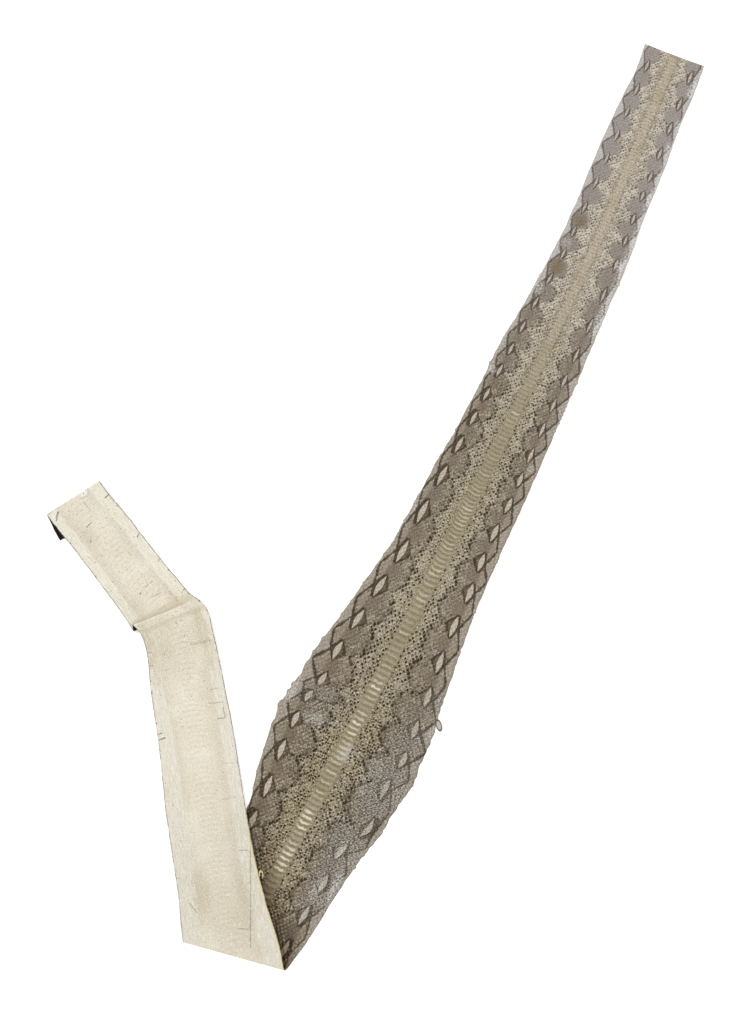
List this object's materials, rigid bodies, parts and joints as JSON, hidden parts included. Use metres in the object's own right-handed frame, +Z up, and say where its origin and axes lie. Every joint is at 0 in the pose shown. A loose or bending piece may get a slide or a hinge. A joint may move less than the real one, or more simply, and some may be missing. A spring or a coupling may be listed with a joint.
{
  "type": "snake skin",
  "caption": "Long tanned snake skin, cut open and laid flat, folded over once so that patterned and plain sides both show.",
  "frame": {"origin": "on the surface it rests on, under the middle of its box", "axes": "+Z up; +Y along the longest extent, away from the main fold; +X towards the side of the narrow patterned end"},
  "size_m": [1.0512, 1.4812, 0.0114],
  "materials": {
    "skin": "tanned reptile leather: small overlapping scales on one side, pale suede-like flesh on the other"
  },
  "bodies": {
    "root": {"skin": "skin"}
  },
  "joints": []
}
